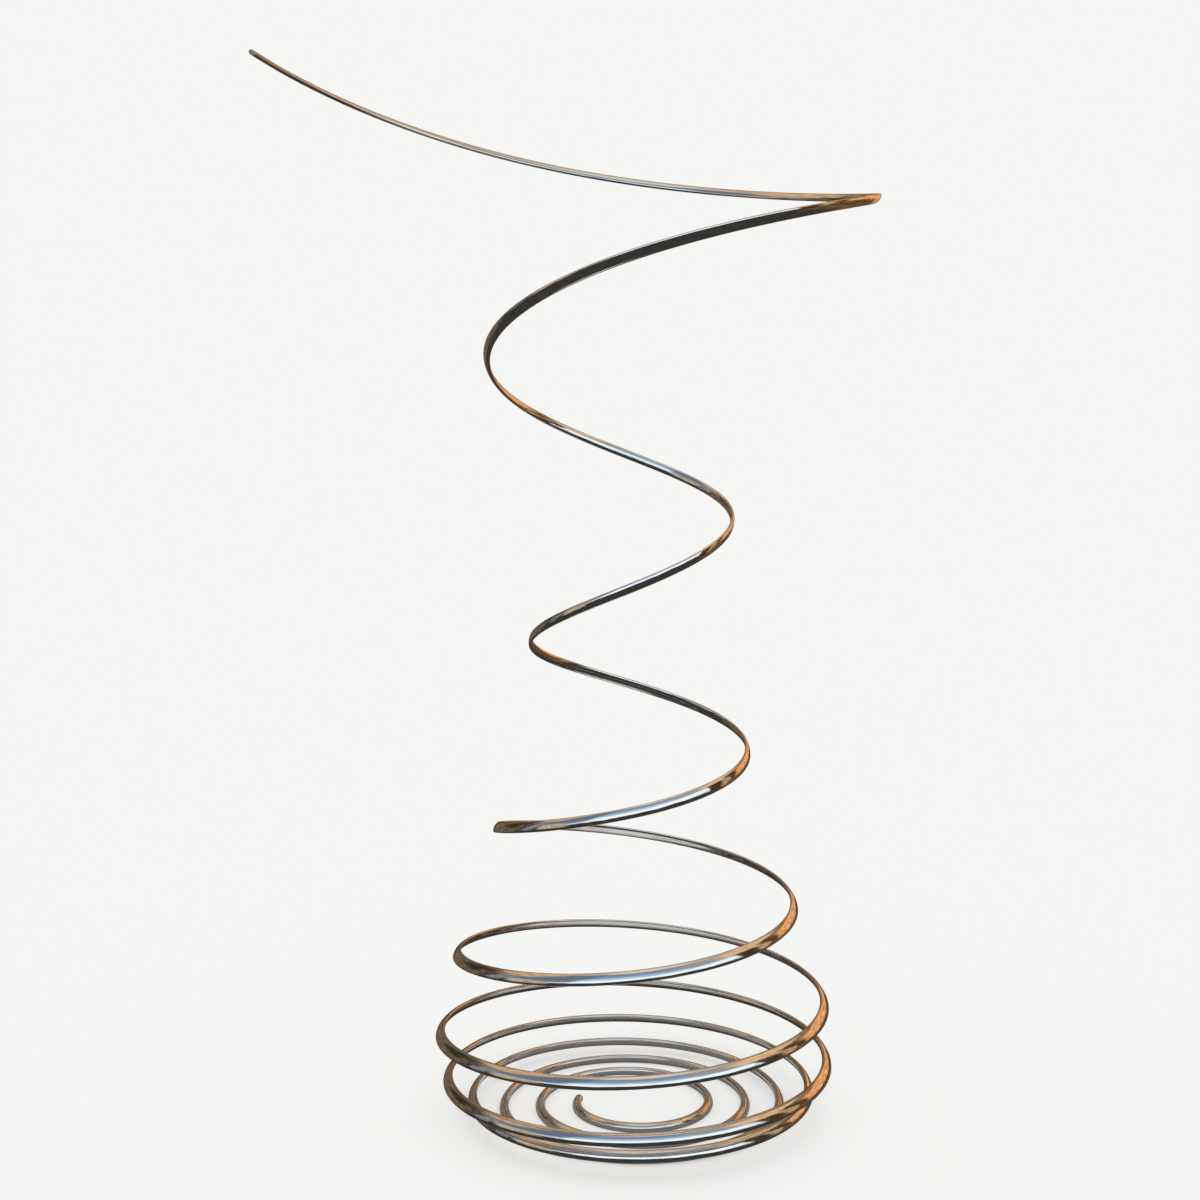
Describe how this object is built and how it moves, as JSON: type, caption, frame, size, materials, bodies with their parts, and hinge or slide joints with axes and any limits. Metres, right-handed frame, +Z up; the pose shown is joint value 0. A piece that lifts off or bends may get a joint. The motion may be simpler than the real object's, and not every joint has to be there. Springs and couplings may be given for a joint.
{
  "type": "spring coil toy",
  "caption": "Tall open coil of chrome-plated spring wire that stands on a flat spiral and bounces and sways.",
  "frame": {"origin": "under the middle of the part, on the desk", "axes": "+Z up along the coil, +X to the coil's right, +Y to its back; the viewer stands at -Y"},
  "size_m": [0.134, 0.1066, 0.2238],
  "materials": {
    "chrome_wire": "polished chrome plate on drawn spring wire"
  },
  "bodies": {
    "foot": {"turn_01_front_left": "chrome_wire", "turn_01_front_right": "chrome_wire", "turn_01_back_right": "chrome_wire", "turn_01_back_left": "chrome_wire", "turn_02_front_left": "chrome_wire", "turn_02_front_right": "chrome_wire", "turn_02_back_right": "chrome_wire", "turn_02_back_left": "chrome_wire", "turn_03_front_left": "chrome_wire", "turn_03_front_right": "chrome_wire", "turn_03_back_right": "chrome_wire", "turn_03_back_left": "chrome_wire", "turn_04_front_left": "chrome_wire"},
    "turn_04_front_right": {"turn_04_front_right": "chrome_wire"},
    "turn_04_back_right": {"turn_04_back_right": "chrome_wire"},
    "turn_04_back_left": {"turn_04_back_left": "chrome_wire"},
    "turn_05_front_left": {"turn_05_front_left": "chrome_wire"},
    "turn_05_front_right": {"turn_05_front_right": "chrome_wire"},
    "turn_05_back_right": {"turn_05_back_right": "chrome_wire"},
    "turn_05_back_left": {"turn_05_back_left": "chrome_wire"},
    "turn_06_front_left": {"turn_06_front_left": "chrome_wire"},
    "turn_06_front_right": {"turn_06_front_right": "chrome_wire"},
    "turn_06_back_right_lower": {"turn_06_back_right_lower": "chrome_wire"},
    "turn_06_back_right_upper": {"turn_06_back_right_upper": "chrome_wire"},
    "turn_06_back_left": {"turn_06_back_left": "chrome_wire"},
    "turn_07_front_left_lower": {"turn_07_front_left_lower": "chrome_wire"},
    "turn_07_front_left_upper": {"turn_07_front_left_upper": "chrome_wire"},
    "turn_07_front_right": {"turn_07_front_right": "chrome_wire"},
    "turn_07_back_right_lower": {"turn_07_back_right_lower": "chrome_wire"},
    "turn_07_back_right_upper": {"turn_07_back_right_upper": "chrome_wire"},
    "turn_07_back_left": {"turn_07_back_left": "chrome_wire"},
    "turn_08_front_left_lower": {"turn_08_front_left_lower": "chrome_wire"},
    "turn_08_front_left_upper": {"turn_08_front_left_upper": "chrome_wire"},
    "turn_08_front_right": {"turn_08_front_right": "chrome_wire"},
    "turn_08_back_right_lower": {"turn_08_back_right_lower": "chrome_wire"},
    "turn_08_back_right_upper": {"turn_08_back_right_upper": "chrome_wire"},
    "turn_08_back_left": {"turn_08_back_left": "chrome_wire"},
    "turn_09_front_left_lower": {"turn_09_front_left_lower": "chrome_wire"},
    "turn_09_front_left_upper": {"turn_09_front_left_upper": "chrome_wire"},
    "turn_09_front_right": {"turn_09_front_right": "chrome_wire"},
    "turn_09_back_right": {"turn_09_back_right": "chrome_wire"},
    "turn_09_back_left": {"turn_09_back_left": "chrome_wire"},
    "turn_10_front_left": {"turn_10_front_left": "chrome_wire"},
    "turn_10_front_right": {"turn_10_front_right": "chrome_wire"},
    "turn_10_back_right": {"turn_10_back_right": "chrome_wire"},
    "turn_10_back_left": {"turn_10_back_left": "chrome_wire"}
  },
  "joints": [
    {"name": "belly_stretch_1", "type": "hinge", "parent": "foot", "child": "turn_04_front_right", "pos_m": [0.01668, -0.04744, 0.00402], "axis": [0.9995, -0.0261, 0.0154], "range_deg": [-1, 3], "stiffness_Nm_per_rad": 0.8},
    {"name": "belly_stretch_2", "type": "hinge", "parent": "turn_04_front_right", "child": "turn_04_back_right", "pos_m": [0.05292, -0.01257, 0.00492], "axis": [0.023, 0.9996, 0.0169], "range_deg": [-1, 3], "stiffness_Nm_per_rad": 0.8},
    {"name": "belly_stretch_3", "type": "hinge", "parent": "turn_04_back_right", "child": "turn_04_back_left", "pos_m": [0.01668, 0.0249, 0.00599], "axis": [-0.9996, 0.0193, 0.0202], "range_deg": [-1, 3], "stiffness_Nm_per_rad": 0.8},
    {"name": "belly_stretch_4", "type": "hinge", "parent": "turn_04_back_left", "child": "turn_05_front_left", "pos_m": [-0.02182, -0.01257, 0.00733], "axis": [-0.0152, -0.9996, 0.0251], "range_deg": [-1, 3], "stiffness_Nm_per_rad": 0.8},
    {"name": "belly_stretch_5", "type": "hinge", "parent": "turn_05_front_left", "child": "turn_05_front_right", "pos_m": [0.01668, -0.05186, 0.00904], "axis": [0.9995, -0.0108, 0.0309], "range_deg": [-1, 3], "stiffness_Nm_per_rad": 0.8},
    {"name": "belly_stretch_6", "type": "hinge", "parent": "turn_05_front_right", "child": "turn_05_back_right", "pos_m": [0.05651, -0.01257, 0.01115], "axis": [0.0065, 0.9993, 0.0367], "range_deg": [-1, 3], "stiffness_Nm_per_rad": 0.8},
    {"name": "belly_stretch_7", "type": "hinge", "parent": "turn_05_back_right", "child": "turn_05_back_left", "pos_m": [0.01668, 0.02753, 0.01365], "axis": [-0.9991, 0.0022, 0.0428], "range_deg": [-1, 3], "stiffness_Nm_per_rad": 0.8},
    {"name": "belly_stretch_8", "type": "hinge", "parent": "turn_05_back_left", "child": "turn_06_front_left", "pos_m": [-0.02342, -0.01257, 0.01655], "axis": [0.0023, -0.9988, 0.0492], "range_deg": [-1, 3], "stiffness_Nm_per_rad": 0.8},
    {"name": "belly_stretch_9", "type": "hinge", "parent": "turn_06_front_left", "child": "turn_06_front_right", "pos_m": [0.01668, -0.05237, 0.01986], "axis": [0.9984, 0.0073, 0.0564], "range_deg": [-1, 3], "stiffness_Nm_per_rad": 0.8},
    {"name": "belly_stretch_10", "type": "hinge", "parent": "turn_06_front_right", "child": "turn_06_back_right_lower", "pos_m": [0.05585, -0.01257, 0.02362], "axis": [-0.0133, 0.9978, 0.0648], "range_deg": [-1, 3], "stiffness_Nm_per_rad": 0.8},
    {"name": "lean_right_1", "type": "hinge", "parent": "turn_06_back_right_lower", "child": "turn_06_back_right_upper", "pos_m": [0.04405, 0.01481, 0.02568], "axis": [0.0174, 0.9998, 0], "range_deg": [-4, 4], "stiffness_Nm_per_rad": 0.8},
    {"name": "belly_stretch_11", "type": "hinge", "parent": "turn_06_back_right_upper", "child": "turn_06_back_left", "pos_m": [0.01668, 0.02558, 0.02786], "axis": [-0.997, -0.0204, 0.0747], "range_deg": [-1, 3], "stiffness_Nm_per_rad": 0.8},
    {"name": "belly_stretch_12", "type": "hinge", "parent": "turn_06_back_left", "child": "turn_07_front_left_lower", "pos_m": [-0.02002, -0.01257, 0.03261], "axis": [0.0292, -0.9958, 0.0867], "range_deg": [-1, 3], "stiffness_Nm_per_rad": 0.8},
    {"name": "lean_back_1", "type": "hinge", "parent": "turn_07_front_left_lower", "child": "turn_07_front_left_upper", "pos_m": [-0.00864, -0.03789, 0.03519], "axis": [-0.9998, 0.0174, 0], "range_deg": [-4, 4], "stiffness_Nm_per_rad": 0.8},
    {"name": "waist_stretch_1", "type": "hinge", "parent": "turn_07_front_left_upper", "child": "turn_07_front_right", "pos_m": [0.01668, -0.04739, 0.03794], "axis": [0.994, 0.0365, 0.103], "range_deg": [-5, 6], "stiffness_Nm_per_rad": 0.6},
    {"name": "waist_stretch_2", "type": "hinge", "parent": "turn_07_front_right", "child": "turn_07_back_right_lower", "pos_m": [0.04948, -0.01257, 0.04402], "axis": [-0.0383, 0.9913, 0.1256], "range_deg": [-5, 6], "stiffness_Nm_per_rad": 0.6},
    {"name": "lean_right_2", "type": "hinge", "parent": "turn_07_back_right_lower", "child": "turn_07_back_right_upper", "pos_m": [0.03918, 0.00993, 0.0474], "axis": [0.0174, 0.9998, 0], "range_deg": [-4, 4], "stiffness_Nm_per_rad": 0.8},
    {"name": "waist_stretch_3", "type": "hinge", "parent": "turn_07_back_right_upper", "child": "turn_07_back_left", "pos_m": [0.01668, 0.01825, 0.05098], "axis": [-0.9878, -0.0421, 0.15], "range_deg": [-5, 6], "stiffness_Nm_per_rad": 0.6},
    {"name": "waist_stretch_4", "type": "hinge", "parent": "turn_07_back_left", "child": "turn_08_front_left_lower", "pos_m": [-0.01182, -0.01257, 0.05863], "axis": [0.0584, -0.9831, 0.1735], "range_deg": [-5, 6], "stiffness_Nm_per_rad": 0.6},
    {"name": "lean_back_2", "type": "hinge", "parent": "turn_08_front_left_lower", "child": "turn_08_front_left_upper", "pos_m": [-0.00248, -0.03173, 0.06264], "axis": [-0.9998, 0.0174, 0], "range_deg": [-4, 4], "stiffness_Nm_per_rad": 0.8},
    {"name": "waist_stretch_5", "type": "hinge", "parent": "turn_08_front_left_upper", "child": "turn_08_front_right", "pos_m": [0.01668, -0.0382, 0.0668], "axis": [0.9761, 0.0695, 0.2059], "range_deg": [-5, 6], "stiffness_Nm_per_rad": 0.6},
    {"name": "waist_stretch_6", "type": "hinge", "parent": "turn_08_front_right", "child": "turn_08_back_right_lower", "pos_m": [0.03988, -0.01257, 0.07573], "axis": [-0.0472, 0.9671, 0.25], "range_deg": [-5, 6], "stiffness_Nm_per_rad": 0.6},
    {"name": "lean_right_3", "type": "hinge", "parent": "turn_08_back_right_lower", "child": "turn_08_back_right_upper", "pos_m": [0.03259, 0.00334, 0.08058], "axis": [0.0174, 0.9998, 0], "range_deg": [-4, 4], "stiffness_Nm_per_rad": 0.8},
    {"name": "waist_stretch_7", "type": "hinge", "parent": "turn_08_back_right_upper", "child": "turn_08_back_left", "pos_m": [0.01668, 0.00949, 0.08572], "axis": [-0.9562, -0.02, 0.2921], "range_deg": [-5, 6], "stiffness_Nm_per_rad": 0.6},
    {"name": "waist_stretch_8", "type": "hinge", "parent": "turn_08_back_left", "child": "turn_09_front_left_lower", "pos_m": [-0.00462, -0.01257, 0.09694], "axis": [0.0289, -0.942, 0.3345], "range_deg": [-5, 6], "stiffness_Nm_per_rad": 0.6},
    {"name": "lean_back_3", "type": "hinge", "parent": "turn_09_front_left_lower", "child": "turn_09_front_left_upper", "pos_m": [0.00204, -0.02721, 0.10304], "axis": [-0.9998, 0.0174, 0], "range_deg": [-4, 4], "stiffness_Nm_per_rad": 0.8},
    {"name": "crown_stretch_1", "type": "hinge", "parent": "turn_09_front_left_upper", "child": "turn_09_front_right", "pos_m": [0.01668, -0.03269, 0.10938], "axis": [0.9258, 0.0289, 0.3768], "range_deg": [-6, 6], "stiffness_Nm_per_rad": 0.4},
    {"name": "crown_stretch_2", "type": "hinge", "parent": "turn_09_front_right", "child": "turn_09_back_right", "pos_m": [0.03668, -0.01257, 0.12242], "axis": [0.0317, 0.9227, 0.3843], "range_deg": [-6, 6], "stiffness_Nm_per_rad": 0.4},
    {"name": "crown_stretch_3", "type": "hinge", "parent": "turn_09_back_right", "child": "turn_09_back_left", "pos_m": [0.01668, 0.01013, 0.13578], "axis": [-0.9247, 0.1145, 0.363], "range_deg": [-6, 6], "stiffness_Nm_per_rad": 0.4},
    {"name": "crown_stretch_4", "type": "hinge", "parent": "turn_09_back_left", "child": "turn_10_front_left", "pos_m": [-0.01232, -0.01257, 0.15115], "axis": [-0.1673, -0.9229, 0.3467], "range_deg": [-6, 6], "stiffness_Nm_per_rad": 0.4},
    {"name": "crown_stretch_5", "type": "hinge", "parent": "turn_10_front_left", "child": "turn_10_front_right", "pos_m": [0.01668, -0.05097, 0.16933], "axis": [0.9463, -0.1512, 0.2857], "range_deg": [-6, 6], "stiffness_Nm_per_rad": 0.4},
    {"name": "crown_stretch_6", "type": "hinge", "parent": "turn_10_front_right", "child": "turn_10_back_right", "pos_m": [0.06558, -0.01257, 0.18681], "axis": [0.1618, 0.9634, 0.2136], "range_deg": [-6, 6], "stiffness_Nm_per_rad": 0.4},
    {"name": "crown_stretch_7", "type": "hinge", "parent": "turn_10_back_right", "child": "turn_10_back_left", "pos_m": [0.01668, 0.05163, 0.20418], "axis": [-0.972, 0.1558, 0.1756], "range_deg": [-6, 6], "stiffness_Nm_per_rad": 0.4}
  ],
  "couplings": [
    {"joint": "belly_stretch_2", "follows": "belly_stretch_1", "ratio": 1},
    {"joint": "belly_stretch_3", "follows": "belly_stretch_1", "ratio": 1},
    {"joint": "belly_stretch_4", "follows": "belly_stretch_1", "ratio": 1},
    {"joint": "belly_stretch_5", "follows": "belly_stretch_1", "ratio": 1},
    {"joint": "belly_stretch_6", "follows": "belly_stretch_1", "ratio": 1},
    {"joint": "belly_stretch_7", "follows": "belly_stretch_1", "ratio": 1},
    {"joint": "belly_stretch_8", "follows": "belly_stretch_1", "ratio": 1},
    {"joint": "belly_stretch_9", "follows": "belly_stretch_1", "ratio": 1},
    {"joint": "belly_stretch_10", "follows": "belly_stretch_1", "ratio": 1},
    {"joint": "belly_stretch_11", "follows": "belly_stretch_1", "ratio": 1},
    {"joint": "belly_stretch_12", "follows": "belly_stretch_1", "ratio": 1},
    {"joint": "waist_stretch_2", "follows": "waist_stretch_1", "ratio": 1},
    {"joint": "lean_right_2", "follows": "lean_right_1", "ratio": 1},
    {"joint": "waist_stretch_3", "follows": "waist_stretch_1", "ratio": 1},
    {"joint": "waist_stretch_4", "follows": "waist_stretch_1", "ratio": 1},
    {"joint": "lean_back_2", "follows": "lean_back_1", "ratio": 1},
    {"joint": "waist_stretch_5", "follows": "waist_stretch_1", "ratio": 1},
    {"joint": "waist_stretch_6", "follows": "waist_stretch_1", "ratio": 1},
    {"joint": "lean_right_3", "follows": "lean_right_1", "ratio": 1},
    {"joint": "waist_stretch_7", "follows": "waist_stretch_1", "ratio": 1},
    {"joint": "waist_stretch_8", "follows": "waist_stretch_1", "ratio": 1},
    {"joint": "lean_back_3", "follows": "lean_back_1", "ratio": 1},
    {"joint": "crown_stretch_2", "follows": "crown_stretch_1", "ratio": 1},
    {"joint": "crown_stretch_3", "follows": "crown_stretch_1", "ratio": 1},
    {"joint": "crown_stretch_4", "follows": "crown_stretch_1", "ratio": 1},
    {"joint": "crown_stretch_5", "follows": "crown_stretch_1", "ratio": 1},
    {"joint": "crown_stretch_6", "follows": "crown_stretch_1", "ratio": 1},
    {"joint": "crown_stretch_7", "follows": "crown_stretch_1", "ratio": 1}
  ]
}
